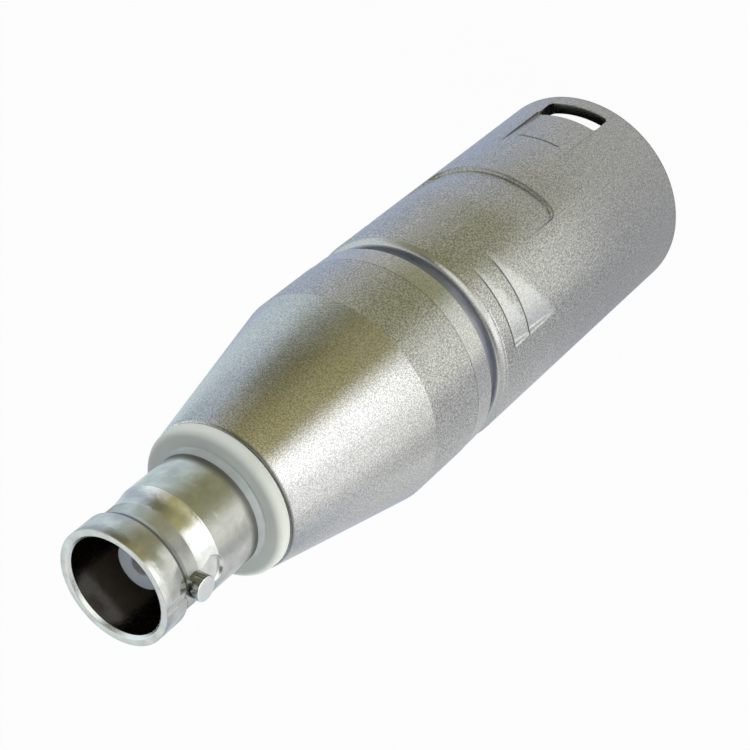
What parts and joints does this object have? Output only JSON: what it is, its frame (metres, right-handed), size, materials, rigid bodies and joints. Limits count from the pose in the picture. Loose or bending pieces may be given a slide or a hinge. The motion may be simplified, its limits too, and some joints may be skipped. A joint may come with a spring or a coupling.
{
  "type": "connector adapter",
  "caption": "Tapered metal connector adapter: a male XLR plug at one end, a BNC bayonet jack on an insulating bush at the other, with a matching transformer sealed inside.",
  "frame": {"origin": "centre of the plug's rim, on the surface that the adapter stands on", "axes": "+Z along the axis from the plug up to the jack; -Y towards the latch window; X through the two bayonet lugs"},
  "size_m": [0.019, 0.019, 0.066],
  "materials": {
    "satin_nickel": "satin nickel plate on a fine-grained casting",
    "bright_nickel": "bright nickel plate on turned brass",
    "silver_plate": "silver plate on turned brass",
    "gilt_brass": "gilt brass",
    "zinc_plated_steel": "plated steel",
    "spring_bronze": "tinned spring bronze",
    "ivory_plastic": "off-white plastic",
    "black_plastic": "black plastic",
    "white_insulator": "white fluoropolymer",
    "clear_sleeve": "natural plastic",
    "board_laminate": "lacquered laminate",
    "ferrite": "sintered ferrite",
    "copper_wire": "lacquered copper wire",
    "red_insulation": "red insulation",
    "black_insulation": "black insulation"
  },
  "bodies": {
    "root": {"xlr_shell": "satin_nickel", "contact_insert": "black_plastic", "contact_pin_left": "silver_plate", "contact_pin_right": "silver_plate", "contact_pin_lower": "silver_plate", "shell_contact_strip": "spring_bronze", "circuit_board": "board_laminate", "transformer_core": "ferrite", "primary_winding": "copper_wire", "secondary_winding": "copper_wire", "spacer_sleeve": "clear_sleeve", "rear_housing": "satin_nickel", "insulating_bush": "ivory_plastic", "inner_insulating_washer": "ivory_plastic", "solder_tag": "spring_bronze", "lock_washer": "zinc_plated_steel", "hex_nut": "zinc_plated_steel", "bnc_body": "bright_nickel", "bayonet_lugs": "bright_nickel", "bnc_insulator": "white_insulator", "bnc_contact": "gilt_brass", "centre_wire": "red_insulation", "tag_wire": "black_insulation"}
  },
  "joints": []
}
